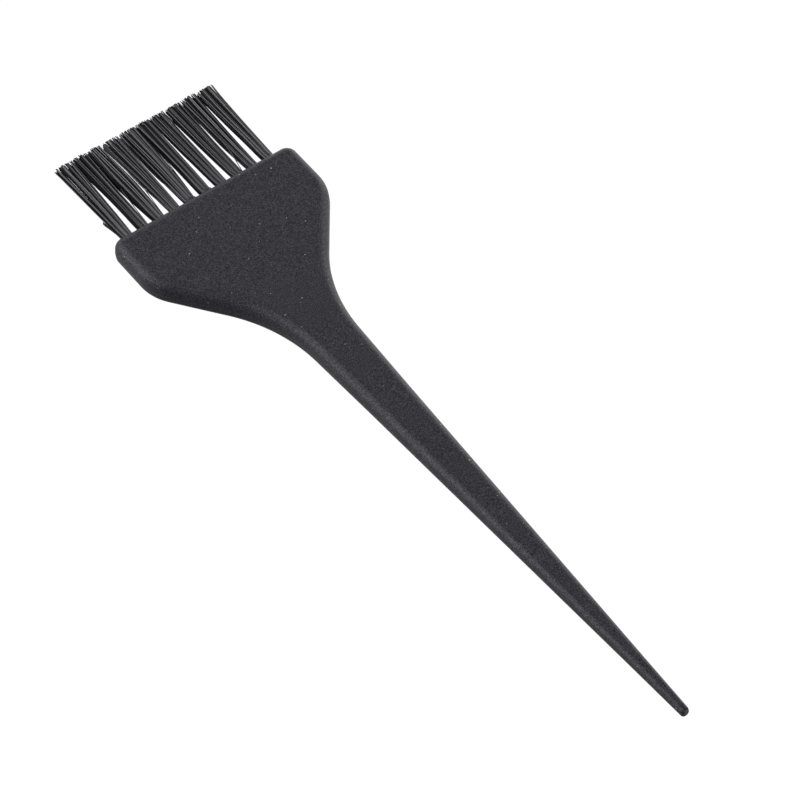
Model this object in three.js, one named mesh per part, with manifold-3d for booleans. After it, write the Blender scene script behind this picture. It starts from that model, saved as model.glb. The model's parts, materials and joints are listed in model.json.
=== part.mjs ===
// A hair tint brush: a one-piece moulded plastic handle whose wide flat head
// holds a single row of ten filament tufts. Each tuft is a bundle of nylon
// filaments folded in half over a small flat metal anchor and driven into a
// blind hole in the head's front edge, so that the anchor's two ends bite into
// the wall of the hole.
//
// Frame: millimetres. The origin is on the flat back of the head, on the brush's
// centre line, REST_BACK behind the front edge, so the head rests on z = 0.
// +Y runs along the tufts, +X to the right along the row of tufts, and +Z out of
// the handle's front face.
//
// The pieces are drawn in a working frame whose origin is in the middle of the
// head's front edge, at half the thickness, and the brush group shifts them.

import * as THREE from "three";
import { mergeVertices } from "three/addons/utils/BufferGeometryUtils.js";
import Module from "manifold-3d";

const wasm = await Module();
wasm.setup();

// ---------------------------------------------------------------- dimensions
const REST_BACK = 10;

// The handle in plan
const HANDLE_LENGTH = 190.4; // front edge of the head to the tail tip
const TAIL_Y = -HANDLE_LENGTH;
const HEAD_HALF_WIDTH = 26.85;
const SHOULDER_Y = -17.1; // where the head's straight side would meet its slope
const NECK_Y = -43.8; // where the slope would meet the line of the tail
const NECK_HALF_WIDTH = 7.2; // at that meeting point
const TAIL_HALF_WIDTH = 1.1; // at the tail tip, before its rounding
const CORNER_RADIUS = 3.0; // front corners of the head
const SHOULDER_RADIUS = 13.5;
const NECK_RADIUS = 44.5;
const TAIL_RADIUS = 1.0;

// The handle's thickness
const HEAD_THICKNESS = 7.4;
const NECK_THICKNESS = 7.2;
const TAIL_THICKNESS = 2.8;
const HEAD_FLAT_END_Y = -25; // the two faces are parallel as far as here
const WEDGE_START_Y = -46; // and taper as one straight wedge from here on
const EDGE_RADIUS = 2.6; // rounding of the long edges and of the front edge
const EDGE_SHARE = 0.42; // most of the local thickness an edge radius takes
const EDGE_LIMIT = 0.8; // most of a section's half size an edge radius takes
const TAIL_EDGE_RADIUS = Math.min(TAIL_RADIUS, EDGE_SHARE * TAIL_THICKNESS);

// The row of holes
const TUFT_COUNT = 10;
const TUFT_PITCH = 4.69;
const HOLE_DIAMETER = 3.0;
const HOLE_DEPTH = 8.0;
const HOLE_OVERRUN = 2; // the cutter stands this far out of the front edge

// The anchors
const ANCHOR_WIDTH = 3.5; // wider than the hole, so that both ends bite
const ANCHOR_DEPTH = 1.7; // along Y
const ANCHOR_THICKNESS = 0.4;
const ANCHOR_Y = -6.2; // middle of the anchor
const SLOT_CLEARANCE = 0.05; // round the anchor, on every side

// The folded bundle inside the hole
const ROOT_DIAMETER = 2.9;
const ROOT_BACK_Y = -7.85; // outside of the fold
const ROOT_FRONT_Y = 2.6;
const ROOT_SLOT_OVERRUN = 1; // added to the slot's width to cut right through

// The free length of a tuft
const FLEX_Y = 4.2; // the line each tuft bends about
const TUFT_ROOT_RADIUS = 1.45; // rounded inner end
const TUFT_TIP_Y = 29.6;
const TUFT_TIP_HALF_WIDTH = 2.24; // the filaments fan out along the row
const TUFT_TIP_HALF_THICKNESS = 1.6;
const TUFT_TIP_DOME = 0.9; // the middle of a cut tuft stands this much higher

// ------------------------------------------------------------------ materials
const plastic = () =>
  new THREE.MeshStandardMaterial({ color: 0x3b393e, roughness: 0.62, metalness: 0 });
const filament = () =>
  new THREE.MeshStandardMaterial({ color: 0x2b2a2d, roughness: 0.42, metalness: 0 });
const metal = () =>
  new THREE.MeshStandardMaterial({ color: 0xa9abae, roughness: 0.35, metalness: 1 });

// -------------------------------------------------------------------- solids
// A closed three.js geometry as a solid, for cutting.
function solidOf(geometry) {
  const bare = geometry.clone();
  bare.deleteAttribute("normal");
  bare.deleteAttribute("uv");
  const merged = mergeVertices(bare, 1e-4);
  return new wasm.Manifold(
    new wasm.Mesh({
      numProp: 3,
      vertProperties: new Float32Array(merged.attributes.position.array),
      triVerts: new Uint32Array(merged.index.array),
    }),
  );
}

// A solid as a three.js geometry; its vertices carry positions only.
function geometryOf(solid) {
  const mesh = solid.getMesh();
  const geometry = new THREE.BufferGeometry();
  const positions = new Float32Array(mesh.vertProperties);
  geometry.setAttribute("position", new THREE.BufferAttribute(positions, 3));
  geometry.setIndex(new THREE.BufferAttribute(new Uint32Array(mesh.triVerts), 1));
  geometry.computeVertexNormals();
  return geometry;
}

// A cylinder whose rings are pulled onto sections along Y. ringPoint(station, k)
// gives ring point k of a station as [x, z], counted from +Z towards +X.
// Stations run from low y to high y.
function loft(stations, around, ringPoint) {
  const spans = stations.length - 1;
  const geometry = new THREE.CylinderGeometry(1, 1, 1, around, spans, false);
  const position = geometry.attributes.position;
  for (let i = 0; i < position.count; i++) {
    const unitX = position.getX(i);
    const unitZ = position.getZ(i);
    const station = stations[Math.round((position.getY(i) + 0.5) * spans)];
    if (Math.hypot(unitX, unitZ) < 0.5) {
      position.setXYZ(i, 0, station.y, 0); // the middle of an end cap
      continue;
    }
    const turn = Math.atan2(unitX, unitZ) / (2 * Math.PI);
    const k = ((Math.round(turn * around) % around) + around) % around;
    const [x, z] = ringPoint(station, k);
    position.setXYZ(i, x, station.y, z);
  }
  return geometry;
}

function ellipseLoft(stations, around) {
  return loft(stations, around, (station, k) => [
    station.halfWidth * Math.sin((2 * Math.PI * k) / around),
    station.halfThickness * Math.cos((2 * Math.PI * k) / around),
  ]);
}

// ---------------------------------------------------------- plan of the handle
// The arc that rounds a corner between two straight runs, as [halfWidth, y].
function fillet(before, corner, after, radius, steps) {
  const vertex = new THREE.Vector2(...corner);
  const toBefore = new THREE.Vector2(...before).sub(vertex).normalize();
  const toAfter = new THREE.Vector2(...after).sub(vertex).normalize();
  const angle = Math.acos(toBefore.dot(toAfter));
  const setback = radius / Math.tan(angle / 2);
  const toCentre = toBefore
    .clone()
    .add(toAfter)
    .normalize()
    .multiplyScalar(radius / Math.sin(angle / 2));
  const centre = vertex.clone().add(toCentre);
  const start = vertex.clone().addScaledVector(toBefore, setback).sub(centre);
  const end = vertex.clone().addScaledVector(toAfter, setback).sub(centre);
  const startAngle = Math.atan2(start.y, start.x);
  let turn = Math.atan2(end.y, end.x) - startAngle;
  turn = Math.atan2(Math.sin(turn), Math.cos(turn)); // the shorter way round
  const curve = new THREE.EllipseCurve(
    centre.x,
    centre.y,
    radius,
    radius,
    startAngle,
    startAngle + turn,
    turn < 0,
    0,
  );
  return curve.getPoints(steps).map((point) => [point.x, point.y]);
}

// Where the straight runs of the right-hand outline meet, as [halfWidth, y].
const corners = {
  front: [0, 0],
  corner: [HEAD_HALF_WIDTH, 0],
  shoulder: [HEAD_HALF_WIDTH, SHOULDER_Y],
  neck: [NECK_HALF_WIDTH, NECK_Y],
  tail: [TAIL_HALF_WIDTH, TAIL_Y],
  tip: [0, TAIL_Y],
};

// The right-hand outline from the front edge to the tail.
const outline = [
  ...fillet(corners.front, corners.corner, corners.shoulder, CORNER_RADIUS, 6),
  ...fillet(corners.corner, corners.shoulder, corners.neck, SHOULDER_RADIUS, 5),
  ...fillet(corners.shoulder, corners.neck, corners.tail, NECK_RADIUS, 9),
  ...fillet(corners.neck, corners.tail, corners.tip, TAIL_RADIUS, 5),
];

function halfWidthAt(y) {
  for (let i = 1; i < outline.length; i++) {
    const [w0, y0] = outline[i - 1];
    const [w1, y1] = outline[i];
    if (y <= y0 && y >= y1)
      return y0 === y1 ? w1 : w0 + ((w1 - w0) * (y0 - y)) / (y0 - y1);
  }
  return outline[outline.length - 1][0];
}

// ---------------------------------------------------------------------- handle
const PER_CORNER = 6; // ring points on each corner of a section, five steps
const MIN_SPACING = 0.05; // sections closer than this are merged
const FRONT_EDGE_TURNS = [0, 22.5, 45, 67.5, 90]; // degrees round the front edge
const BLEND_YS = [HEAD_FLAT_END_Y, -28, -33, -38, -42, WEDGE_START_Y];

function thicknessAt(y) {
  if (y >= HEAD_FLAT_END_Y) return HEAD_THICKNESS;
  if (y >= WEDGE_START_Y) {
    const share = (HEAD_FLAT_END_Y - y) / (HEAD_FLAT_END_Y - WEDGE_START_Y);
    const ease = share * share * (3 - 2 * share);
    return HEAD_THICKNESS + (NECK_THICKNESS - HEAD_THICKNESS) * ease;
  }
  const share = (WEDGE_START_Y - y) / (WEDGE_START_Y - TAIL_Y);
  return NECK_THICKNESS + (TAIL_THICKNESS - NECK_THICKNESS) * share;
}

// How far the surface drops at a distance inside a rounded edge.
function edgeDrop(distance, radius) {
  if (distance >= radius) return 0;
  return radius - Math.sqrt(radius * radius - (radius - distance) ** 2);
}

// How much wider a section cuts the edge rounding where the side slopes.
function slantAt(y) {
  if (y > -CORNER_RADIUS) return 1;
  const reach = 0.5; // the slope is taken this far to either side
  const slope = (halfWidthAt(y - reach) - halfWidthAt(y + reach)) / (2 * reach);
  return Math.hypot(1, slope);
}

// Where the handle's sections lie, from the tail to the front edge.
function handleYs() {
  const frontEdgeYs = FRONT_EDGE_TURNS.map(
    (turn) => -EDGE_RADIUS * (1 - Math.cos((turn * Math.PI) / 180)),
  );
  const ys = [...outline.map(([, y]) => y), ...frontEdgeYs, ...BLEND_YS]
    .map((y) => Number(y.toFixed(4)))
    .sort((a, b) => a - b);
  const kept = [];
  for (const y of ys)
    if (!kept.length || y - kept[kept.length - 1] > MIN_SPACING) kept.push(y);
  return kept;
}

function handleStation(y) {
  const thickness = thicknessAt(y);
  const radius = Math.min(EDGE_RADIUS, EDGE_SHARE * thickness);
  const halfWidth = halfWidthAt(y);
  const halfThickness =
    thickness / 2 - edgeDrop(-y, EDGE_RADIUS) - edgeDrop(y - TAIL_Y, TAIL_EDGE_RADIUS);
  return {
    y,
    halfWidth,
    halfThickness,
    radiusX: Math.min(radius * slantAt(y), EDGE_LIMIT * halfWidth),
    radiusZ: Math.min(radius, EDGE_LIMIT * halfThickness),
  };
}

// Ring point k of a rounded-rectangle section. The ring runs from +Z towards
// +X, so its first corner is the right-hand one on the front face.
function rectanglePoint({ halfWidth, halfThickness, radiusX, radiusZ }, k) {
  const corner = Math.floor(k / PER_CORNER);
  const turn = ((k % PER_CORNER) / (PER_CORNER - 1)) * (Math.PI / 2);
  const start = (corner * Math.PI) / 2;
  const signX = [1, 1, -1, -1][corner];
  const signZ = [1, -1, -1, 1][corner];
  return [
    signX * (halfWidth - radiusX) + radiusX * Math.sin(start + turn),
    signZ * (halfThickness - radiusZ) + radiusZ * Math.cos(start + turn),
  ];
}

// The cutter for an anchor's slot, centred on x = 0.
const anchorSlot = (width) =>
  new THREE.BoxGeometry(
    width,
    ANCHOR_DEPTH + 2 * SLOT_CLEARANCE,
    ANCHOR_THICKNESS + 2 * SLOT_CLEARANCE,
  ).translate(0, ANCHOR_Y, 0);

function holeCutter() {
  const radius = HOLE_DIAMETER / 2;
  const length = HOLE_DEPTH + HOLE_OVERRUN;
  return new THREE.CylinderGeometry(radius, radius, length, 20).translate(
    0,
    length / 2 - HOLE_DEPTH,
    0,
  );
}

const tuftX = (i) => (i - (TUFT_COUNT - 1) / 2) * TUFT_PITCH;

// The handle, with its ten blind holes and the slots the anchors have cut.
function handleGeometry() {
  const stations = handleYs().map(handleStation);
  let handle = solidOf(loft(stations, 4 * PER_CORNER, rectanglePoint));
  for (let i = 0; i < TUFT_COUNT; i++) {
    const hole = holeCutter().translate(tuftX(i), 0, 0);
    const slot = anchorSlot(ANCHOR_WIDTH + 2 * SLOT_CLEARANCE).translate(tuftX(i), 0, 0);
    handle = handle.subtract(solidOf(hole)).subtract(solidOf(slot));
  }
  return geometryOf(handle);
}

// ----------------------------------------------------------- anchors and tufts
// A flat metal plate across the hole.
const anchorGeometry = () =>
  new THREE.BoxGeometry(ANCHOR_WIDTH, ANCHOR_DEPTH, ANCHOR_THICKNESS);

// The dome of the fold: [distance from its outside, share of the root's radius]
const FOLD_PROFILE = [
  [0, 0.45],
  [0.15, 0.75],
  [0.4, 0.93],
  [0.7, 1],
];

// The folded, fixed part of a tuft: round, domed where the filaments turn
// back round the anchor, with the anchor's slot through it.
function rootGeometry() {
  const station = (y, radius) => ({ y, halfWidth: radius, halfThickness: radius });
  const radius = ROOT_DIAMETER / 2;
  const stations = [
    ...FOLD_PROFILE.map(([rise, share]) => station(ROOT_BACK_Y + rise, share * radius)),
    station(ROOT_FRONT_Y, radius),
  ];
  const slot = anchorSlot(ROOT_DIAMETER + ROOT_SLOT_OVERRUN);
  return geometryOf(solidOf(ellipseLoft(stations, 20)).subtract(solidOf(slot)));
}

// Rings of the rounded inner end, in degrees from its innermost point
const INNER_END_TURNS = [18, 40, 65];
const FAN_SHARES = [0, 0.5, 1]; // rings of the fan, as shares of its length
// The domed cut end: [share of the dome's height, share of the tip's size]
const DOME_PROFILE = [
  [0.6, 0.8],
  [1, 0.45],
];

// The free length of a tuft: a rounded inner end centred on the line it
// bends about, then a fan that widens along the row, with a domed cut end.
function tuftGeometry() {
  const radius = TUFT_ROOT_RADIUS;
  const cutY = TUFT_TIP_Y - TUFT_TIP_DOME;
  const innerEnd = INNER_END_TURNS.map((turn, i) => {
    const angle = (turn * Math.PI) / 180;
    const size = radius * Math.sin(angle);
    // the first ring closes the end, so it lies at the full radius
    const back = i === 0 ? radius : radius * Math.cos(angle);
    return { y: FLEX_Y - back, halfWidth: size, halfThickness: size };
  });
  const fan = FAN_SHARES.map((share) => ({
    y: FLEX_Y + (cutY - FLEX_Y) * share,
    halfWidth: radius + (TUFT_TIP_HALF_WIDTH - radius) * share,
    halfThickness: radius + (TUFT_TIP_HALF_THICKNESS - radius) * share,
  }));
  const dome = DOME_PROFILE.map(([rise, size]) => ({
    y: cutY + rise * TUFT_TIP_DOME,
    halfWidth: size * TUFT_TIP_HALF_WIDTH,
    halfThickness: size * TUFT_TIP_HALF_THICKNESS,
  }));
  return ellipseLoft([...innerEnd, ...fan, ...dome], 16);
}

// -------------------------------------------------------------------- assembly
const brush = new THREE.Group();
brush.position.set(0, REST_BACK, HEAD_THICKNESS / 2);

function add(name, geometry, material) {
  const mesh = new THREE.Mesh(geometry, material);
  mesh.name = name;
  brush.add(mesh);
  return mesh;
}

// One piece at every tuft, numbered from the left.
function addRow(name, makeGeometry, makeMaterial, y = 0) {
  for (let i = 0; i < TUFT_COUNT; i++) {
    const number = String(i + 1).padStart(2, "0");
    const mesh = add(`${name}_${number}`, makeGeometry(), makeMaterial());
    mesh.position.set(tuftX(i), y, 0);
  }
}

add("handle", handleGeometry(), plastic());
addRow("tuft_anchor", anchorGeometry, metal, ANCHOR_Y);
addRow("tuft_root", rootGeometry, filament);
addRow("tuft", tuftGeometry, filament);

const part = new THREE.Group();
part.add(brush);
export default part;
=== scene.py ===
"""A flat black brush: a moulded handle with a row of ten filament tufts.

The brush lies flat. The wide head's front edge faces +Y and holds the tufts, the
handle narrows to a thin tail toward -Y, and the thickness runs along Z. Shapes are
drawn in millimetres from the middle of the head's front edge, at half thickness.
"""
import json
import math
import random

import bmesh
import bpy
import numpy as np
from mathutils import Matrix, Vector


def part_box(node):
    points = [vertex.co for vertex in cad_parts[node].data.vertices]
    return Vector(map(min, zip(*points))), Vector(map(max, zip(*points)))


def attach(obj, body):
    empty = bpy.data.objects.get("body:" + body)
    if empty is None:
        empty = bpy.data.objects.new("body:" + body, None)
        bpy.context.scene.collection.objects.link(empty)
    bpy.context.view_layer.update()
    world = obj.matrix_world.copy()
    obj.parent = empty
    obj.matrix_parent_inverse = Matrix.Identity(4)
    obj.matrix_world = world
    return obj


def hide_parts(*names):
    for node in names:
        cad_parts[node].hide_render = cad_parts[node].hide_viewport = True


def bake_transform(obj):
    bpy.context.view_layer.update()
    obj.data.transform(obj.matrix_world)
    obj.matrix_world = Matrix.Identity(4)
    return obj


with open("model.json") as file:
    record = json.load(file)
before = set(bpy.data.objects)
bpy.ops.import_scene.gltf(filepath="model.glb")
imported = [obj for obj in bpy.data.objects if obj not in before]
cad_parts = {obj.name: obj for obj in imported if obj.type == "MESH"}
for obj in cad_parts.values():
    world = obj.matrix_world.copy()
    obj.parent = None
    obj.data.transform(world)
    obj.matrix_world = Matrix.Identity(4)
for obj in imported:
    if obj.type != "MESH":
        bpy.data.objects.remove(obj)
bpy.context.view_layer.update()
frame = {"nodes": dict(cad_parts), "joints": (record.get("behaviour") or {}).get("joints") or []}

scene = bpy.context.scene
MM = 0.001

# ---------------------------------------------------------------------------
# Sizes and places read from the frame
# ---------------------------------------------------------------------------
HANDLE_LO, HANDLE_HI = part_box("handle")
ORIGIN = Vector((0.0, HANDLE_HI.y, (HANDLE_LO.z + HANDLE_HI.z) / 2))
LENGTH = (HANDLE_HI.y - HANDLE_LO.y) / MM
HALF_W = HANDLE_HI.x / MM
HEAD_T = (HANDLE_HI.z - HANDLE_LO.z) / MM

TUFTS = sorted(n for n in frame["nodes"] if n.startswith("tuft_") and n[5:].isdigit())
JOINTS = {joint["child"]: joint for joint in frame["joints"]}


def middle_x(name):
    lo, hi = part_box(name)
    return (lo.x + hi.x) / 2 / MM


TUFT_X = {name: middle_x(name) for name in TUFTS}
TIP_Y = (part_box(TUFTS[0])[1].y - ORIGIN.y) / MM
FLEX_Y = (JOINTS[TUFTS[0]]["pos_m"][1] - ORIGIN.y) / MM
ROOT_LO, ROOT_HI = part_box("tuft_root_01")
ROOT_R = (ROOT_HI.x - ROOT_LO.x) / 2 / MM
FOLD_BACK = (ROOT_LO.y - ORIGIN.y) / MM
ANCHOR_BACK = (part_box("tuft_anchor_01")[0].y - ORIGIN.y) / MM


def to_scene(point):
    """Millimetres from the head's front edge to scene metres."""
    return tuple(point[i] * MM + ORIGIN[i] for i in range(3))


def smooth_object(name, verts, faces):
    mesh = bpy.data.meshes.new(name)
    mesh.from_pydata([to_scene(v) for v in verts], [], faces)
    mesh.update()
    obj = bpy.data.objects.new(name, mesh)
    scene.collection.objects.link(obj)
    mesh.polygons.foreach_set("use_smooth", [True] * len(mesh.polygons))
    return obj


# ---------------------------------------------------------------------------
# Node helpers
# ---------------------------------------------------------------------------
def rgba(tone):
    """An opaque colour from a grey level or an (r, g, b) triple."""
    return (*tone, 1.0) if isinstance(tone, tuple) else (tone, tone, tone, 1.0)


class Graph:
    """The emptied node tree of a material or a world."""

    def __init__(self, owner):
        owner.use_nodes = True
        self.tree = owner.node_tree
        self.tree.nodes.clear()

    def feed(self, node, inputs):
        """Link each input that is given a socket, and set the others."""
        for key, value in inputs.items():
            if isinstance(value, bpy.types.NodeSocket):
                self.tree.links.new(value, node.inputs[key])
            else:
                node.inputs[key].default_value = value

    def add(self, kind, inputs=None, **settings):
        node = self.tree.nodes.new("ShaderNode" + kind)
        for key, value in settings.items():
            setattr(node, key, value)
        self.feed(node, inputs or {})
        return node

    def math(self, operation, a, b, clamp=False):
        node = self.add("Math", {0: a, 1: b}, operation=operation, use_clamp=clamp)
        return node.outputs[0]

    def plus(self, a, b):
        return self.math("ADD", a, b)

    def times(self, a, b, clamp=False):
        return self.math("MULTIPLY", a, b, clamp)


class Material(Graph):
    """A material with a Principled BSDF at its output."""

    def __init__(self, name):
        self.data = bpy.data.materials.new(name)
        super().__init__(self.data)
        self.bsdf = self.add("BsdfPrincipled")
        self.output = self.add("OutputMaterial", {"Surface": self.bsdf.outputs[0]})

    def coords(self, scale):
        """Object coordinates times a scale on each axis."""
        source = self.add("TexCoord").outputs["Object"]
        return self.add("Mapping", {"Vector": source, "Scale": scale}).outputs["Vector"]

    def noise(self, vector, scale, detail, roughness):
        inputs = {"Vector": vector, "Scale": scale, "Detail": detail, "Roughness": roughness}
        return self.add("TexNoise", inputs).outputs["Fac"]

    def ramp(self, factor, *stops):
        """A colour ramp through (position, grey level or colour) stops."""
        node = self.add("ValToRGB", {"Fac": factor})
        elements = node.color_ramp.elements
        while len(elements) > 1:
            elements.remove(elements[-1])
        elements[0].position = stops[0][0]
        elements[0].color = rgba(stops[0][1])
        for position, tone in stops[1:]:
            elements.new(position).color = rgba(tone)
        return node.outputs["Color"]

    def mix(self, factor, a, b, blend="MIX"):
        # inputs 6 and 7 and output 2 are the Mix node's colour sockets
        node = self.add("Mix", {0: factor, 6: a, 7: b}, data_type="RGBA", blend_type=blend)
        return node.outputs[2]

    def bump(self, height, strength, distance):
        inputs = {"Height": height, "Strength": strength, "Distance": distance}
        return self.add("Bump", inputs).outputs["Normal"]


# ---------------------------------------------------------------------------
# Materials of the brush
# ---------------------------------------------------------------------------
PER_MM = (1000.0, 1000.0, 1000.0)
VIOLET_SHEEN = rgba((1.0, 0.98, 1.06))


def plastic_material():
    """Black plastic with a fine matte grain and sparse painted glints: bright dots in the base
    colour.
    """
    m = Material("moulded_black_plastic")
    position = m.coords(PER_MM)
    # grain: small craters, finer roughness in them, and a slow mottle of the colour
    craters = m.add("TexVoronoi", {"Vector": position, "Scale": 2.2, "Smoothness": 0.4},
                    feature="SMOOTH_F1")
    fine = m.noise(position, scale=3.3, detail=3.0, roughness=0.7)
    mottle = m.noise(position, scale=0.45, detail=3.0, roughness=0.55)
    grain = m.plus(m.times(craters.outputs["Distance"], 0.8), m.times(fine, 1.2))

    # edge: 1 where the surface leans halfway between face and wall, 0 on both; it paints a
    # highlight along the rounded edges, with more glints and a stronger reflection there
    normal = m.add("TexCoord").outputs["Normal"]
    normal_z = m.add("SeparateXYZ", {0: normal}).outputs[2]
    facing = m.times(normal_z, normal_z)
    edge = m.times(m.times(facing, m.math("SUBTRACT", 1.0, facing)), 4.0, clamp=True)

    # painted glints: a few cells, more of them on the rounded edges, hold a bright dot painted
    # into the base colour;
    # the cell's random colour picks the cell, the dot's size and its brightness
    cells = m.add("TexVoronoi", {"Vector": position, "Scale": 0.95}, feature="F1")
    pick, width, glint = m.add("SeparateColor", {0: cells.outputs["Color"]}).outputs
    chosen = m.math("GREATER_THAN", m.plus(pick, m.times(edge, 0.12)), 0.88)
    radius = m.plus(m.times(width, 0.10), 0.10)
    glint_dots = m.times(m.math("LESS_THAN", cells.outputs["Distance"], radius), chosen)
    level = m.times(glint_dots, m.plus(m.times(m.math("POWER", glint, 3.0), 0.92), 0.08))

    base = m.ramp(mottle, (0.35, (0.0110, 0.0098, 0.0146)), (0.66, (0.0142, 0.0128, 0.0186)))
    speckle = m.ramp(fine, (0.36, 0.30), (0.50, 0.9), (0.64, 2.6))
    speckled = m.mix(1.0, base, speckle, blend="MULTIPLY")
    roughness = m.ramp(fine, (0.3, 0.42), (0.7, 0.54))
    shine = m.ramp(fine, (0.36, 0.20), (0.50, 0.42), (0.64, 0.84))
    relief = m.plus(grain, m.times(glint_dots, 0.8))
    m.feed(m.bsdf, {
        # painted glints: the dots lighten the base colour toward grey
        "Base Color": m.mix(level, speckled, rgba((0.45, 0.45, 0.47))),
        "Roughness": m.mix(glint_dots, roughness, rgba(0.30)),
        # painted highlight: a stronger reflection on the rounded edges
        "Specular IOR Level": m.times(shine, m.plus(m.times(edge, 0.35), 1.0)),
        "Specular Tint": VIOLET_SHEEN,
        "Normal": m.bump(relief, strength=1.0, distance=0.000032),
        "IOR": 1.49,
    })
    return m.data


def filament_material():
    """Glossy black filament with a dull cut end; each strand's tone paints a highlight or a
    shade on it.
    """
    m = Material("black_nylon_filament")
    tone = m.add("Attribute", attribute_name="strand").outputs["Fac"]
    along = m.add("Attribute", attribute_name="along").outputs["Fac"]
    # fine across the strand and long along Y
    streaks = m.noise(m.coords((2200.0, 60.0, 2200.0)), scale=1.0, detail=2.0, roughness=0.5)
    # painted highlight and shade: the strand's tone runs the base colour from near black for
    # shaded strands to grey for lit ones
    base = m.ramp(tone, (0.0, (0.0015, 0.0014, 0.0018)), (0.55, (0.0100, 0.0095, 0.0112)),
                  (0.8, (0.042, 0.040, 0.047)), (1.0, (0.120, 0.115, 0.129)))
    cut = m.ramp(along, (0.97, 0.0), (0.995, 0.85))
    roughness = m.ramp(streaks, (0.3, 0.30), (0.7, 0.42))
    m.feed(m.bsdf, {
        "Base Color": m.mix(cut, base, rgba((0.009, 0.009, 0.010))),
        "Roughness": m.mix(cut, roughness, rgba(0.7)),
        # lit strands also reflect more, as part of the painted highlight
        "Specular IOR Level": m.ramp(tone, (0.0, 0.08), (0.5, 0.40), (0.8, 0.75), (1.0, 1.0)),
        "Specular Tint": VIOLET_SHEEN,
        "Normal": m.bump(streaks, strength=0.3, distance=0.00002),
        "IOR": 1.53,
    })
    return m.data


def anchor_material():
    """Steel with fine drawing lines along X."""
    m = Material("anchor_wire_steel")
    position = m.coords((250.0, 4000.0, 4000.0))
    lines = m.noise(position, scale=3.0, detail=3.0, roughness=0.6)
    m.feed(m.bsdf, {
        "Base Color": m.ramp(lines, (0.3, (0.42, 0.42, 0.43)), (0.7, (0.66, 0.66, 0.67))),
        "Metallic": 1.0,
        "Roughness": m.ramp(lines, (0.3, 0.24), (0.7, 0.42)),
        "Normal": m.bump(lines, strength=0.3, distance=0.00002),
    })
    return m.data


# ---------------------------------------------------------------------------
# The handle: rings of the plan outline, drawn in and up round the edges, with
# a grid of quads over each of the two faces
# ---------------------------------------------------------------------------
SHOULDER_Y, NECK_Y = -17.1, -43.8
NECK_W, TAIL_W = 7.2, 1.1     # half widths
NECK_T, TAIL_T = 7.2, 2.8     # full thicknesses
FLAT_END = -25.0              # behind this the head's thickness changes to the neck's
WEDGE_START = -46.0           # behind this it tapers evenly to the tail's
OUTLINE_STEP = 1.6            # spacing of points between the rounded corners
# rounded corners of the right-hand (+X) side, front to tail: x, y, radius, steps
CORNERS = [
    (HALF_W, 0, 3.0, 14),
    (HALF_W, SHOULDER_Y, 13.5, 22),
    (NECK_W, NECK_Y, 44.5, 40),
    (TAIL_W, -LENGTH, 1.0, 10),
]
COLUMNS = 12                  # quads across each face
EDGE_R = 2.6
EDGE_ANGLES = range(0, 91, 9)
DRAFT = 0.05                  # the walls lean in this much from parting line to edge
PARTING = 0.035               # the parting line stands this proud

HOLE_R, HOLE_DEPTH = 1.5, 8.0
HOLE_CONE = 0.6               # depth of the pointed bottom
COUNTERSINK = 0.14
HOLE_SEGMENTS = 40


def unit(vector):
    return vector / np.linalg.norm(vector)


def fillet(before, corner, after, radius, steps):
    """Points and outward normals of the arc that rounds a corner."""
    before, corner, after = (np.array(p, float) for p in (before, corner, after))
    u, v = unit(before - corner), unit(after - corner)
    half = math.acos(float(u @ v)) / 2
    start = corner + u * radius / math.tan(half)
    end = corner + v * radius / math.tan(half)
    centre = corner + unit(u + v) * radius / math.sin(half)
    angle = math.atan2(*(start - centre)[::-1])
    turn = math.atan2(*(end - centre)[::-1]) - angle
    turn = math.atan2(math.sin(turn), math.cos(turn))
    convex = u[1] * v[0] - u[0] * v[1] < 0
    points, normals = [], []
    for share in np.linspace(0, 1, steps + 1):
        a = angle + turn * share
        ray = np.array([math.cos(a), math.sin(a)])
        points.append(centre + radius * ray)
        normals.append(ray if convex else -ray)
    return points, normals


def side_outline():
    """The right-hand side, from the start of the front corner to the tail's end."""
    stops = [(0, 0)] + [corner[:2] for corner in CORNERS] + [(0, -LENGTH)]
    points, normals = [], []
    for i, (_, _, radius, steps) in enumerate(CORNERS):
        arc, arc_normals = fillet(*stops[i:i + 3], radius, steps)
        if points:
            # the run between the last arc and this one
            last, last_normal = points[-1], normals[-1]
            count = max(1, int(np.linalg.norm(arc[0] - last) / OUTLINE_STEP))
            for k in range(1, count):
                f = k / count
                points.append(last * (1 - f) + arc[0] * f)
                normals.append(unit(last_normal * (1 - f) + arc_normals[0] * f))
        points += arc
        normals += arc_normals
    keep = [0] + [i for i in range(1, len(points))
                  if np.linalg.norm(points[i] - points[i - 1]) > 1e-4]
    return [points[i] for i in keep], [normals[i] for i in keep]


def thickness(y):
    if y >= FLAT_END:
        return HEAD_T
    if y >= WEDGE_START:
        s = (FLAT_END - y) / (FLAT_END - WEDGE_START)
        return HEAD_T + (NECK_T - HEAD_T) * s * s * (3 - 2 * s)
    s = (WEDGE_START - y) / (LENGTH + WEDGE_START)
    return NECK_T + (TAIL_T - NECK_T) * s


def wall_levels(ring_y):
    """(inset, height) at each ring point, from the parting line up to the face."""
    thick = np.array([thickness(y) for y in ring_y])
    edge_z = np.minimum(EDGE_R, 0.42 * thick)
    # near the tail the rounding is narrower in plan than in height
    taper = np.clip((NECK_Y - ring_y) / (LENGTH + NECK_Y), 0, 1)
    edge_xy = np.minimum(edge_z, 0.78 * (NECK_W + (TAIL_W - NECK_W) * taper))
    wall = thick / 2 - edge_z
    bead = np.minimum(0.09, 0.3 * wall)  # half height of the parting line
    zero = np.zeros(len(ring_y))
    levels = [
        (zero - PARTING, zero),
        (zero - PARTING * 0.45, bead * 0.55),
        (zero, bead),
        (zero + DRAFT * 0.5, wall * 0.55),
    ]
    for degrees in EDGE_ANGLES:
        a = math.radians(degrees)
        inset = DRAFT + (edge_xy - 0.3 * DRAFT) * (1 - math.cos(a))
        levels.append((inset, wall + edge_z * math.sin(a)))
    return levels


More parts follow.
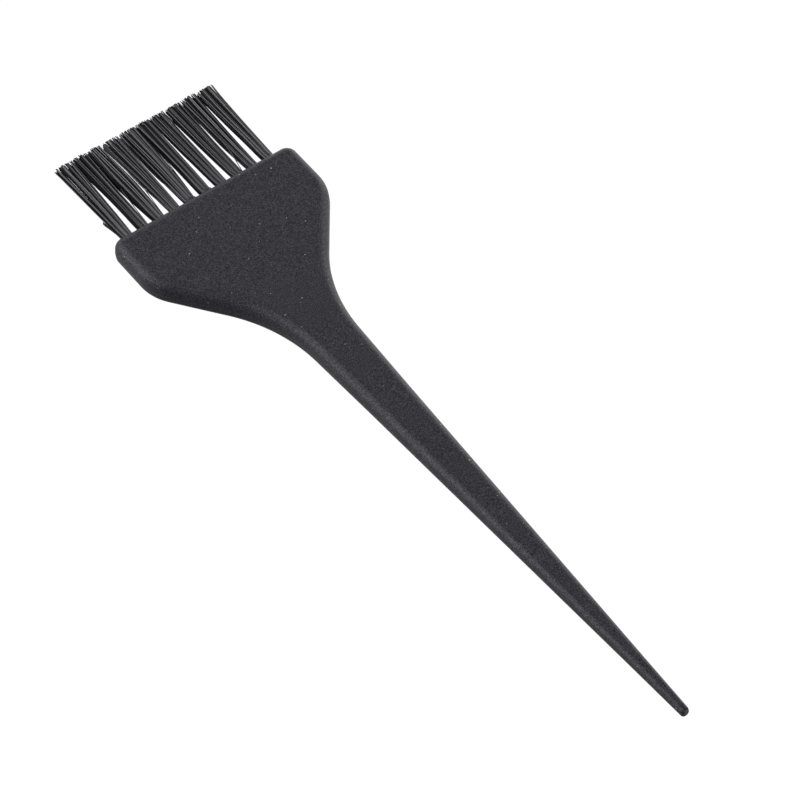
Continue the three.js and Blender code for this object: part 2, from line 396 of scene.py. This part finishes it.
def handle_mesh():
    points, normals = side_outline()
    # the closed ring: front edge from left to right, right side, tail, left side
    front_x = points[0][0]
    front = [np.array([-front_x + 2 * front_x * k / COLUMNS, 0.0]) for k in range(1, COLUMNS)]
    ring = np.array(front + points + [p * [-1, 1] for p in points[::-1]])
    outward = np.array([np.array([0.0, 1.0])] * len(front) + normals
                       + [n * [-1, 1] for n in normals[::-1]])
    count = len(ring)
    right = range(len(front), len(front) + len(points))
    left = range(count - 1, len(front) + len(points) - 1, -1)  # left[i] mirrors right[i]

    levels = wall_levels(ring[:, 1])
    signed = [(level, -1) for level in levels[:0:-1]] + [(level, 1) for level in levels]
    verts, faces, rows = [], [], []
    for (inset, height), side in signed:
        rows.append(len(verts))
        xy = ring - outward * inset[:, None]
        verts += [(xy[k, 0], xy[k, 1], side * height[k]) for k in range(count)]
    for a, b in zip(rows[:-1], rows[1:]):
        for k in range(count):
            j = (k + 1) % count
            faces.append((a + j, a + k, b + k, b + j))

    for base, is_top in ((rows[-1], True), (rows[0], False)):
        grid = [[base + left[0]] + [base + k for k in range(len(front))] + [base + right[0]]]
        for i in range(1, len(right)):
            a, b = verts[base + left[i]], verts[base + right[i]]
            row = [base + left[i]]
            for k in range(1, COLUMNS):
                f = k / COLUMNS
                verts.append(tuple(a[j] * (1 - f) + b[j] * f for j in range(3)))
                row.append(len(verts) - 1)
            row.append(base + right[i])
            grid.append(row)
        for near, far in zip(grid[:-1], grid[1:]):
            for k in range(COLUMNS):
                quad = (near[k], far[k], far[k + 1], near[k + 1])
                faces.append(quad if is_top else quad[::-1])
    return verts, faces


def close_mesh(mesh):
    """Weld the rings and fill the slits left at the tail."""
    bm = bmesh.new()
    bm.from_mesh(mesh)
    bmesh.ops.remove_doubles(bm, verts=bm.verts, dist=2e-6)
    bmesh.ops.dissolve_degenerate(bm, edges=bm.edges, dist=1e-7)
    bmesh.ops.holes_fill(bm, edges=[e for e in bm.edges if e.is_boundary], sides=0)
    bmesh.ops.recalc_face_normals(bm, faces=bm.faces)
    bm.to_mesh(mesh)
    bm.free()


def hole_cutters():
    """One object with a cutter for each blind tuft hole, slightly countersunk."""
    # y, radius; the first ring stands clear in front of the head
    profile = [
        (1.0, HOLE_R + COUNTERSINK),
        (0.0, HOLE_R + COUNTERSINK),
        (-COUNTERSINK, HOLE_R),
        (-HOLE_DEPTH + HOLE_CONE, HOLE_R),
    ]
    bm = bmesh.new()
    for name in TUFTS:
        hole_x = TUFT_X[name]
        rings = []
        for y, radius in profile:
            ring = []
            for k in range(HOLE_SEGMENTS):
                a = 2 * math.pi * k / HOLE_SEGMENTS
                point = (hole_x + radius * math.cos(a), y, radius * math.sin(a))
                ring.append(bm.verts.new(to_scene(point)))
            rings.append(ring)
        tip = bm.verts.new(to_scene((hole_x, -HOLE_DEPTH, 0.0)))
        bm.faces.new(rings[0][::-1])
        for a, b in zip(rings[:-1], rings[1:]):
            for k in range(HOLE_SEGMENTS):
                j = (k + 1) % HOLE_SEGMENTS
                bm.faces.new((a[k], a[j], b[j], b[k]))
        for k in range(HOLE_SEGMENTS):
            bm.faces.new((rings[-1][k], rings[-1][(k + 1) % HOLE_SEGMENTS], tip))
    bmesh.ops.recalc_face_normals(bm, faces=bm.faces)
    mesh = bpy.data.meshes.new("tuft_hole_cutters")
    bm.to_mesh(mesh)
    bm.free()
    obj = bpy.data.objects.new("tuft_hole_cutters", mesh)
    scene.collection.objects.link(obj)
    return obj


def build_handle(material):
    handle = smooth_object("handle_moulding", *handle_mesh())
    close_mesh(handle.data)

    cutters = hole_cutters()
    boolean = handle.modifiers.new("holes", "BOOLEAN")
    boolean.operation = "DIFFERENCE"
    boolean.solver = "EXACT"
    boolean.object = cutters
    bpy.context.view_layer.update()
    depsgraph = bpy.context.evaluated_depsgraph_get()
    mesh = bpy.data.meshes.new_from_object(handle.evaluated_get(depsgraph))
    handle.modifiers.clear()
    handle.data = mesh
    bpy.data.objects.remove(cutters)

    mesh.polygons.foreach_set("use_smooth", [True] * len(mesh.polygons))
    mesh.set_sharp_from_angle(angle=math.radians(28))
    mesh.materials.clear()
    mesh.materials.append(material)
    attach(handle, "handle")
    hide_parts("handle")


# ---------------------------------------------------------------------------
# The filaments. Each tuft is a bundle of folded strands: a strand runs from one
# cut end into the hole, round the anchor, and back out.
# ---------------------------------------------------------------------------
FIL_R = 0.135
SIDES = 8
STRANDS = 42                     # folded strands in a tuft, so twice as many ends
RIM = 14                         # of them, this many lie round the outside
BUNDLE = ROOT_R - FIL_R + 0.01   # radius of the strand centres in the hole
TIP_HALF_T = 1.38                # half thickness of the strand centres at the tip
END_STEPS = 19                   # segments from the hole's mouth to a cut end
BEND, BEND_STEPS = 8.4, 10       # the first 8.4 mm bend, so they take 10 of these
FOLD_CLEAR = 0.22                # least gap from the mid-plane to a strand in the hole
STRAIGHT_Y = -2.2                # in the hole, each strand runs straight from here back

# How the tufts fan out: the left and right edges of each tuft, from its hole's
# centre, at these distances in front of the head
FAN_Y = [0.0, 2.5, 8.0, 14.0, 20.0, 29.0]
FAN = [
    ([-1.46, -1.80, -2.10, -2.25, -2.40, -2.70], [1.46, 1.60, 2.00, 2.18, 2.34, 2.70]),
    ([-1.46, -1.70, -1.80, -1.98, -2.18, -2.60], [1.46, 1.62, 1.82, 1.72, 2.05, 2.25]),
    ([-1.46, -1.88, -2.28, -2.75, -2.85, -2.75], [1.46, 1.52, 1.92, 2.25, 1.95, 1.70]),
    ([-1.46, -1.67, -1.97, -2.10, -2.65, -2.90], [1.46, 1.63, 1.90, 2.10, 2.06, 2.30]),
    ([-1.46, -1.76, -2.10, -2.15, -2.35, -2.70], [1.46, 1.55, 1.95, 2.25, 2.50, 2.60]),
    ([-1.46, -1.85, -1.95, -1.95, -2.20, -2.35], [1.46, 1.46, 1.72, 1.80, 1.88, 2.10]),
    ([-1.46, -1.93, -2.13, -2.40, -2.55, -2.75], [1.46, 1.47, 1.57, 1.67, 1.72, 2.05]),
    ([-1.46, -1.83, -2.22, -2.55, -2.50, -2.75], [1.46, 1.67, 1.77, 1.77, 2.17, 2.25]),
    ([-1.46, -1.92, -2.40, -2.60, -2.33, -2.55], [1.46, 1.39, 1.49, 1.69, 1.89, 2.15]),
    ([-1.46, -1.90, -1.90, -2.30, -2.42, -2.45], [1.46, 1.30, 1.50, 1.70, 1.86, 2.10]),
]
# each edge is smoothed toward a slight curve beyond the head
FAN_CURVES = [[np.polyfit(FAN_Y[1:], edge[1:], 2) for edge in pair] for pair in FAN]
CURVE_SHARE, TABLE_SHARE = 0.7, 0.3
DEPTH_SHARE = 0.317  # how much a tuft's depth counts in the width of the fan

# Strands that stand apart from their bundle, by the tuft's place in the row:
# (share of the filament radius, tone that paints highlight or shade, points from the hole's
# centre)
LOOSE = {
    0: [
        (1.05, 0.55, [
            (-1.24, -2.0, 0.10), (-1.34, 0.0, 0.10), (-1.52, 2.5, 0.14), (-1.76, 5.5, 0.2),
            (-1.98, 8.7, 0.26), (-2.20, 12.0, 0.3), (-2.36, 18.0, 0.34), (-2.56, 24.0, 0.36),
            (-2.86, 28.9, 0.38)]),
        (0.85, 0.70, [
            (-1.20, -2.0, -0.40), (-1.26, 0.0, -0.40), (-1.44, 2.5, -0.38),
            (-1.72, 6.5, -0.32), (-1.88, 11.0, -0.25), (-1.90, 18.0, -0.2),
            (-1.96, 24.0, -0.1), (-2.12, 28.4, 0.0)]),
        (1.15, 0.25, [
            (-1.20, -2.0, 0.45), (-1.28, 0.0, 0.45), (-1.78, 2.5, 0.42), (-2.18, 5.0, 0.4),
            (-2.50, 6.9, 0.38), (-2.66, 7.7, 0.38)]),
        (1.10, 0.30, [
            (-1.22, -2.0, 0.10), (-1.30, 0.0, 0.10), (-1.74, 2.5, 0.12), (-2.14, 5.0, 0.16),
            (-2.44, 6.6, 0.16), (-2.56, 7.2, 0.14)]),
        (1.00, 0.10, [
            (-1.14, -2.0, 0.70), (-1.20, 0.0, 0.72), (-1.74, 2.5, 0.72), (-2.16, 5.0, 0.66),
            (-2.46, 7.0, 0.62), (-2.56, 7.9, 0.60)]),
    ],
    1: [
        (0.85, 0.75, [
            (1.15, -2.0, 0.50), (1.20, 0.0, 0.55), (1.45, 4.0, 0.60), (1.78, 8.5, 0.62),
            (2.10, 12.0, 0.60), (2.42, 16.0, 0.55), (2.62, 20.0, 0.50), (2.50, 28.3, 0.40)]),
    ],
    2: [
        (0.85, 0.75, [
            (1.15, -2.0, 0.50), (1.20, 0.0, 0.55), (1.44, 3.0, 0.60), (1.98, 8.0, 0.62),
            (2.34, 13.0, 0.60), (2.20, 20.0, 0.50), (2.00, 28.3, 0.40)]),
    ],
    3: [
        (0.85, 0.80, [
            (-1.15, -2.0, 0.50), (-1.25, 0.0, 0.55), (-1.60, 3.0, 0.62), (-2.25, 8.0, 0.70),
            (-2.62, 13.0, 0.68), (-2.60, 20.0, 0.60), (-2.62, 28.5, 0.50)]),
    ],
    4: [
        (0.85, 0.75, [
            (-1.15, -2.0, 0.50), (-1.25, 0.0, 0.55), (-1.72, 3.0, 0.60), (-2.22, 8.0, 0.62),
            (-2.66, 12.5, 0.60), (-2.72, 20.0, 0.50), (-2.70, 28.4, 0.40)]),
        (0.85, 0.55, [
            (1.20, -2.0, -0.3), (1.26, 0.0, -0.3), (1.70, 4.0, -0.2), (2.20, 10.0, 0.0),
            (2.55, 16.0, 0.2), (2.50, 28.2, 0.3)]),
    ],
    7: [
        (0.85, 0.75, [
            (1.05, -2.0, 0.75), (1.15, 0.0, 0.85), (1.55, 2.6, 0.95), (2.35, 7.0, 1.05),
            (2.75, 11.0, 1.05), (2.70, 18.0, 0.95), (2.50, 28.0, 0.90)]),
    ],
    8: [
        (0.85, 0.65, [
            (-1.20, -2.0, 0.20), (-1.28, 0.0, 0.25), (-1.90, 3.0, 0.30), (-2.50, 8.0, 0.34),
            (-2.68, 13.0, 0.36), (-2.40, 20.0, 0.40), (-2.40, 28.4, 0.40)]),
    ],
    9: [
        (1.20, 0.50, [
            (1.15, -2.0, 0.20), (1.22, 0.0, 0.25), (1.34, 4.0, 0.30), (1.56, 12.0, 0.36),
            (1.86, 20.0, 0.40), (2.12, 25.0, 0.42), (2.44, 29.2, 0.42)]),
        (1.05, 0.15, [
            (1.15, -2.0, -0.20), (1.22, 0.0, -0.20), (1.34, 4.0, -0.10), (1.54, 12.0, 0.0),
            (1.80, 20.0, 0.1), (2.04, 25.0, 0.2), (2.30, 28.8, 0.3)]),
        (0.90, 0.80, [
            (1.05, -2.0, 0.50), (1.12, 0.0, 0.55), (1.22, 4.0, 0.60), (1.44, 12.0, 0.66),
            (1.72, 20.0, 0.66), (1.98, 25.0, 0.64), (2.24, 29.3, 0.62)]),
    ],
}
LOOSE_STEPS = 4  # segments between two points of a loose strand


def clamp01(value):
    return min(1.0, max(0.0, value))


class TubeMesh:
    """Closed tubes round the hole at hole_x, with a tone (painted highlight or shade) and a
    reach at each vertex.
    """

    def __init__(self, hole_x):
        self.hole_x = hole_x
        self.verts, self.faces = [], []
        self.tones, self.reaches = [], []

    def add(self, path, radii, tone, reaches, lift=0.0):
        """A tube with flat ends. Lift lightens the painted shade of a dark strand near the head.
        """
        path = np.array([(self.hole_x + x, y, z) for x, y, z in path])
        tangents = np.gradient(path, axis=0)
        tangents /= np.linalg.norm(tangents, axis=1)[:, None]
        across = np.array([1.0, 0.0, 0.0])
        base = len(self.verts)
        for point, tangent, radius, reach in zip(path, tangents, radii, reaches):
            across = unit(across - tangent * (across @ tangent))
            other = np.cross(tangent, across)
            lightened = tone + lift * max(0.0, 0.5 - tone) * clamp01((0.32 - reach) / 0.22)
            for k in range(SIDES):
                a = 2 * math.pi * k / SIDES
                ray = across * math.cos(a) + other * math.sin(a)
                self.verts.append(tuple(point + radius * ray))
                self.tones.append(lightened)
                self.reaches.append(reach)
        last = base + (len(path) - 1) * SIDES
        for ring in range(base, last, SIDES):
            for k in range(SIDES):
                j = (k + 1) % SIDES
                self.faces.append((ring + k, ring + j, ring + SIDES + j, ring + SIDES + k))
        self.faces.append(tuple(base + k for k in range(SIDES))[::-1])
        self.faces.append(tuple(last + k for k in range(SIDES)))


def strand_places(rng):
    """Strand centres (x, z) over the upper half of the round bundle, rim first."""
    places = []
    for k in range(RIM):
        a = math.radians(6 + 168 * k / (RIM - 1) + rng.uniform(-3, 3))
        r = BUNDLE * rng.uniform(0.97, 1.0)
        places.append((r * math.cos(a), max(0.14, r * math.sin(a))))
    tries = 0
    gap = BUNDLE * 2.0 / math.sqrt(STRANDS) * 0.66
    while len(places) < STRANDS and tries < 60000:
        tries += 1
        x, z = rng.uniform(-BUNDLE, BUNDLE), rng.uniform(0.13, BUNDLE)
        if x * x + z * z > BUNDLE * BUNDLE:
            continue
        if all((x - a) ** 2 + (z - b) ** 2 > gap * gap for a, b in places):
            places.append((x, z))
        elif tries % 1500 == 0:
            gap *= 0.94
    return places


def fan(index, y, depth):
    """Middle and half width of a tuft's strand centres at distance y."""
    if y <= 0.0:
        return 0.0, BUNDLE
    left, right = (
        float(CURVE_SHARE * np.polyval(curve, y) + TABLE_SHARE * np.interp(y, FAN_Y, edge))
        for curve, edge in zip(FAN_CURVES[index], FAN[index]))
    # an allowance of 0.12 mm that shrinks to 0.02 mm from 4 to 12 mm out
    outer = (right - left) / 2 + 0.12 - 0.10 * clamp01((y - 4.0) / 8.0)
    half = math.sqrt(max(0.5, outer * outer - DEPTH_SHARE * (depth + FIL_R) ** 2)) - FIL_R
    # the round bundle gives way to the fan over the first 1.2 mm
    share = min(1.0, y / 1.2)
    return (left + right) / 2 * share, BUNDLE * (1 - share) + half * share


def strand_end(rng, index, trim, x0, z0, side):
    """One half of a folded strand, from the mouth of the hole to its cut end."""
    if side < 0:  # the lower half comes out a little to one side
        x0 += rng.uniform(-0.10, 0.10)
    x0 = max(-BUNDLE, min(BUNDLE, x0))
    z0 *= side
    u, w = x0 / BUNDLE, z0 / BUNDLE
    tip_z = w * (1 + 0.22 * u * u) * TIP_HALF_T + rng.gauss(0, 0.08)
    drift = rng.gauss(0, 0.13)
    if rng.random() < 0.08:  # a strand that has wandered
        drift += rng.uniform(-0.6, 0.6)
        tip_z += rng.uniform(-0.3, 0.3)
    # the tuft's cut is slightly domed
    length = TIP_Y - 0.42 + trim + 0.25 * (1 - u * u) - 0.45 * w * w + rng.gauss(0, 0.10)
    if rng.random() < 0.05:  # a short strand
        length -= rng.uniform(0.2, 1.1)
    length = min(length, TIP_Y + 0.30)
    bow_x, bow_z = rng.gauss(0, 0.07), rng.gauss(0, 0.06)
    wave, phase = rng.gauss(0, 0.045), rng.uniform(0, 6.28)

    points = []
    for k in range(END_STEPS + 1):
        if k <= BEND_STEPS:
            y = BEND * k / BEND_STEPS
        else:
            y = BEND + (length - BEND) * (k - BEND_STEPS) / (END_STEPS - BEND_STEPS)
        t = y / length
        middle, half = fan(index, y, BUNDLE + (TIP_HALF_T - BUNDLE) * t)
        bow = math.sin(math.pi * t)
        # towards the cut the bundle is packed squarer, so it fills its corners
        x = middle + u * (1 + 0.16 * t * w * w) * half + drift * t ** 1.3
        x += bow_x * bow + wave * math.sin(phase + 5.5 * t) * t
        z = z0 + (tip_z - z0) * t ** 0.7
        z += bow_z * bow + 0.6 * wave * math.cos(phase * 1.7 + 4.5 * t) * t
        points.append((x, y, z))
    return points


def strand_fold(x, z):
    """Straight back to the anchor, a half turn round it, and straight forward."""
    z = max(FOLD_CLEAR + FIL_R, z)
    centre = min(FOLD_BACK + z + FIL_R, ANCHOR_BACK - 0.02)
    turn = []
    for degrees in range(0, 181, 45):
        a = math.radians(degrees)
        turn.append((x, centre - z * math.sin(a), z * math.cos(a)))
    return [(x, STRAIGHT_Y, z)] + turn + [(x, STRAIGHT_Y, -z)]


def strand_painted_light(rng, index, number, shaded_flank):
    """Painted shade on the tuft's flanks and on every third rim strand, painted highlight on the
    other rim strands, and mostly painted shade inside.
    """
    pick = rng.random()
    if shaded_flank:
        return rng.uniform(0.0, 0.12)
    if number < RIM:
        dark = number % 3 == index % 3
        return rng.uniform(0.0, 0.12) if dark else rng.uniform(0.66, 1.0)
    return rng.uniform(0.0, 0.15) if pick < 0.74 else rng.uniform(0.5, 1.0)


def reach_shares(end):
    """How far along to the cut end each point is."""
    return [y / end[-1][1] for _, y, _ in end]


def smooth_path(points):
    """A rounded (Catmull-Rom) curve through a few points."""
    points = [Vector(p) for p in points]
    points = [points[0] * 2 - points[1]] + points + [points[-1] * 2 - points[-2]]
    path = []
    for i in range(1, len(points) - 2):
        a, b, c, d = points[i - 1:i + 3]
        for k in range(LOOSE_STEPS):
            t = k / LOOSE_STEPS
            path.append(tuple(0.5 * (2 * b + (c - a) * t + (2 * a - 5 * b + 4 * c - d) * t * t
                                     + (3 * b - a - 3 * c + d) * t ** 3)))
    path.append(tuple(points[-2]))
    return path


def tuft_tubes(index, name):
    rng = random.Random(4100 + index)
    tubes = TubeMesh(TUFT_X[name])
    trim = rng.uniform(-0.15, 0.12)
    for number, (x, z) in enumerate(strand_places(rng)):
        upper = strand_end(rng, index, trim, x, z, 1)
        lower = strand_end(rng, index, trim, x, z, -1)
        # strands on the tuft's flanks get a painted shade
        shaded_flank = x < -0.86 * BUNDLE or x > 0.96 * BUNDLE
        tone = strand_painted_light(rng, index, number, shaded_flank)
        fold = strand_fold(x, z)
        path = upper[::-1] + fold + lower
        reaches = reach_shares(upper)[::-1] + [0.0] * len(fold) + reach_shares(lower)
        radius = FIL_R * (0.93 + 0.13 * tone)
        cut_radius = radius * 0.86
        radii = [cut_radius] + [radius] * (len(path) - 2) + [cut_radius]
        tubes.add(path, radii, tone, reaches, lift=0.0 if shaded_flank else 0.9)
    for size, tone, points in LOOSE.get(index, []):
        path = smooth_path(points)
        # only a full-length strand has a dull cut end
        full = points[-1][1] > 20.0
        reaches = [max(0.0, y / points[-1][1]) if full else 0.0 for _, y, _ in path]
        tubes.add(path, [FIL_R * size] * len(path), tone, reaches)
    return tubes


def build_tuft(index, name, material):
    number = name[5:]
    tubes = tuft_tubes(index, name)
    piece = smooth_object("filaments_" + number, tubes.verts, tubes.faces)
    for label, values in (("strand", tubes.tones), ("along", tubes.reaches)):
        attribute = piece.data.attributes.new(label, "FLOAT", "POINT")
        attribute.data.foreach_set("value", np.array(values, np.float32))
    piece.data.set_sharp_from_angle(angle=math.radians(70))
    piece.data.materials.append(material)
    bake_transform(piece)
    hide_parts(name, "tuft_root_" + number)


def dress_anchors(material):
    """The anchors keep their CAD shape and take the steel."""
    for name, obj in frame["nodes"].items():
        if name.startswith("tuft_anchor_"):
            obj.data.materials.clear()
            obj.data.materials.append(material)


# ---------------------------------------------------------------------------
# Floor
# ---------------------------------------------------------------------------
FLOOR_HALF = 3.0   # metres
# low enough that tufts bent down by 45 degrees stay above it
FLOOR_Z = -(TIP_Y - FLEX_Y + 1.5) * math.sin(math.radians(45)) * MM
FLOOR_BOUNCE = 0.04
FLOOR_GLOW = 1.0


def floor_material():
    """Pale floor that glows white to the camera and is clear from below."""
    m = Material("pale_floor")
    clouds = m.noise(m.coords((1.0, 1.0, 1.0)), scale=9.0, detail=2.0, roughness=0.5)
    m.feed(m.bsdf, {
        "Base Color": m.ramp(clouds, (0.3, FLOOR_BOUNCE * 0.97), (0.7, FLOOR_BOUNCE * 1.03)),
        "Roughness": 0.9,
        "Specular IOR Level": 0.1,
    })
    camera_ray = m.add("LightPath").outputs["Is Camera Ray"]
    strength = m.times(camera_ray, FLOOR_GLOW)
    glow = m.add("Emission", {"Color": rgba(1.0), "Strength": strength})
    lit = m.add("AddShader", {0: m.bsdf.outputs[0], 1: glow.outputs[0]})
    clear = m.add("BsdfTransparent")
    below = m.add("NewGeometry").outputs["Backfacing"]
    sheet = m.add("MixShader", {0: below, 1: lit.outputs[0], 2: clear.outputs[0]})
    m.feed(m.output, {"Surface": sheet.outputs[0]})
    return m.data


def build_floor():
    material = floor_material()
    mesh = bpy.data.meshes.new("floor")
    signs = [(-1, -1), (1, -1), (1, 1), (-1, 1)]
    corners = [(x * FLOOR_HALF, y * FLOOR_HALF, FLOOR_Z) for x, y in signs]
    mesh.from_pydata(corners, [], [(0, 1, 2, 3)])
    floor = bpy.data.objects.new("floor", mesh)
    scene.collection.objects.link(floor)
    mesh.materials.append(material)
    # only the camera sees the floor
    for flag in ("visible_diffuse", "visible_glossy", "visible_transmission", "visible_shadow"):
        setattr(floor, flag, False)


# ---------------------------------------------------------------------------
# Light
# ---------------------------------------------------------------------------
WORLD_BASE = 0.03
# soft lights in the world: direction toward the light, strength, tightness
WORLD_LOBES = [
    ((-0.48, 0.54, 0.70), 2.10, 11.0),
    ((-0.90, 0.48, 0.05), 0.75, 3.0),
    ((0.66, 0.70, -0.35), 1.35, 2.0),
    ((0.40, 0.52, 0.75), 0.45, 2.0),
    ((-0.75, 0.50, -0.60), 0.22, 2.0),
    ((0.35, -0.78, -0.10), 1.60, 4.0),
    ((-0.50, -0.80, 0.35), 0.18, 3.0),
]
LIGHT_TARGET = (0.0, ORIGIN.y - 0.08, 0.0)


def build_world():
    """White to the camera; the brush is lit by the lobes over a dim base."""
    world = bpy.data.worlds.new("studio")
    scene.world = world
    g = Graph(world)
    ray = g.add("TexCoord").outputs["Generated"]
    level = WORLD_BASE
    for direction, strength, tightness in WORLD_LOBES:
        inputs = {0: ray, 1: Vector(direction).normalized()}
        dot = g.add("VectorMath", inputs, operation="DOT_PRODUCT").outputs["Value"]
        lobe = g.math("POWER", g.math("MAXIMUM", dot, 0.0), tightness)
        level = g.plus(g.times(lobe, strength), level)
    camera_ray = g.add("LightPath").outputs["Is Camera Ray"]
    # inputs 2 and 3 are the Mix node's float sockets
    seen = g.add("Mix", {0: camera_ray, 2: level, 3: 1.0}, data_type="FLOAT").outputs[0]
    background = g.add("Background", {"Color": rgba(1.0), "Strength": seen})
    g.add("OutputWorld", {"Surface": background.outputs[0]})


def area_light(name, location, width, height, power):
    light = bpy.data.lights.new(name, "AREA")
    light.energy = power
    light.shape = "RECTANGLE"
    light.size = width
    light.size_y = height
    obj = bpy.data.objects.new(name, light)
    obj.location = location
    obj.rotation_mode = "QUATERNION"
    aim = Vector(LIGHT_TARGET) - Vector(location)
    obj.rotation_quaternion = aim.to_track_quat("-Z", "Y")
    scene.collection.objects.link(obj)


# ---------------------------------------------------------------------------
# Camera: a long lens above and behind the tail, on the -X side
# ---------------------------------------------------------------------------
ELEVATION, AZIMUTH, ROLL = (math.radians(a) for a in (52.307, -35.189, -1.637))
CAMERA_PIVOT = np.array([0.0, -90.0, 0.0])   # mm
CAMERA_DISTANCE = 970.1                      # mm from the pivot
AIM_LEFT, AIM_UP = 4.35424, 7.008926         # mm from the pivot to the aim point
LENS, SENSOR = 185.83721, 36.0               # mm


def build_camera():
    away = np.array([
        math.sin(AZIMUTH) * math.cos(ELEVATION),
        -math.cos(AZIMUTH) * math.cos(ELEVATION),
        math.sin(ELEVATION),
    ])
    level = np.array([math.cos(AZIMUTH), math.sin(AZIMUTH), 0.0])
    upright = np.cross(away, level)
    right = level * math.cos(ROLL) + upright * math.sin(ROLL)
    up = -level * math.sin(ROLL) + upright * math.cos(ROLL)
    place = CAMERA_PIVOT + CAMERA_DISTANCE * away
    aim = CAMERA_PIVOT - right * AIM_LEFT + up * AIM_UP
    z = unit(place - aim)
    x = unit(right - z * (right @ z))
    y = np.cross(z, x)

    data = bpy.data.cameras.new("camera")
    camera = bpy.data.objects.new("camera", data)
    scene.collection.objects.link(camera)
    rows = [(x[i], y[i], z[i], to_scene(place)[i]) for i in range(3)]
    camera.matrix_world = Matrix((*rows, (0, 0, 0, 1)))
    data.sensor_width = SENSOR
    data.lens = LENS
    data.clip_start = 0.05
    data.clip_end = 20.0
    scene.camera = camera


# ---------------------------------------------------------------------------
# Build
# ---------------------------------------------------------------------------
plastic = plastic_material()
filament = filament_material()
steel = anchor_material()

build_handle(plastic)
for tuft_index, tuft_name in enumerate(TUFTS):
    build_tuft(tuft_index, tuft_name, filament)
dress_anchors(steel)

build_floor()
build_world()
area_light("left_low", location=(-1.05, 0.55, 0.42), width=0.55, height=0.5, power=1.5)
area_light("right_low", location=(1.0, 0.35, 0.35), width=0.5, height=0.9, power=1.5)
build_camera()
scene.view_settings.view_transform = "Standard"
scene.view_settings.look = "None"
scene.view_settings.exposure = 0.0
